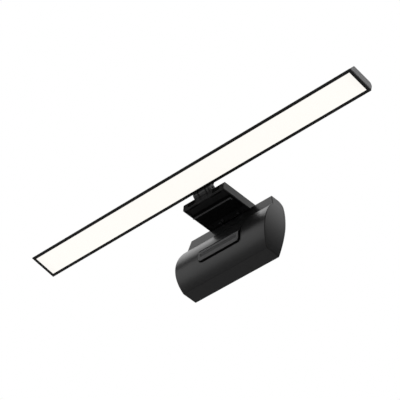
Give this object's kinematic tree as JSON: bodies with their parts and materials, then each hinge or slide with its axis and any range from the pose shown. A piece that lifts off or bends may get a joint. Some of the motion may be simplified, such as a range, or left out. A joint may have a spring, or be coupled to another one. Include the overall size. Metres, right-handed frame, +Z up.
{
  "type": "monitor light bar",
  "caption": "Slim LED lamp bar on a tilt hinge, with a short arm that rests on a monitor's top edge and a spring-closed counterweight that hangs behind the screen.",
  "frame": {"origin": "middle of the rest pad's lower face, where the arm lies on the monitor's top edge", "axes": "+X along the lamp bar, -Y towards the user, +Z up"},
  "size_m": [0.45, 0.0906, 0.0998],
  "materials": {
    "housing_metal": "fine black anodised",
    "black_plastic": "fine moulded texture",
    "bezel_plastic": "satin black",
    "touch_gloss": "gloss black",
    "silicone": "matte silicone",
    "opal": "lit opal diffuser",
    "reflector_white": "white reflector",
    "circuit_board": "white solder mask",
    "steel": "bright machined",
    "cast_weight": "rough cast"
  },
  "bodies": {
    "arm": {"arm_cover": "black_plastic", "arm_base": "black_plastic", "hook_rib": "silicone", "rest_pad": "silicone", "tilt_fork": "black_plastic", "tilt_pin": "steel", "friction_washer_left": "steel", "friction_washer_right": "steel", "rear_yoke": "black_plastic", "clamp_pin": "steel", "clamp_washer_left": "steel", "clamp_washer_right": "steel", "torsion_spring": "steel", "base_screw_left": "steel", "base_screw_right": "steel", "spring_stop_screw": "steel"},
    "lamp": {"bar_housing": "housing_metal", "end_cap_left": "housing_metal", "end_cap_right": "housing_metal", "bezel_frame": "bezel_plastic", "diffuser": "opal", "reflector": "reflector_white", "led_board": "circuit_board", "driver_board": "circuit_board", "touch_panel": "touch_gloss", "touch_board": "circuit_board", "usb_c_socket": "steel", "tilt_lug": "black_plastic", "lug_nut_plate": "steel", "lug_screw_left": "steel", "lug_screw_right": "steel"},
    "clamp": {"weight_shell": "black_plastic", "rear_cover": "black_plastic", "counterweight_left": "cast_weight", "counterweight_right": "cast_weight", "grip_pad": "silicone", "hinge_saddle": "black_plastic", "saddle_screw_left": "steel", "saddle_screw_right": "steel", "cover_screw_1": "steel", "cover_screw_2": "steel", "cover_screw_3": "steel", "cover_screw_4": "steel"}
  },
  "joints": [
    {"name": "bar_tilt", "type": "hinge", "parent": "arm", "child": "lamp", "pos_m": [0, -0.0234, 0.0106], "axis": [1, 0, 0], "range_deg": [-20, 30]},
    {"name": "clamp_swing", "type": "hinge", "parent": "arm", "child": "clamp", "pos_m": [0, 0.023, 0.0046], "axis": [1, 0, 0], "range_deg": [0, 35], "stiffness_Nm_per_rad": 0.06, "springref_deg": -68.75}
  ]
}
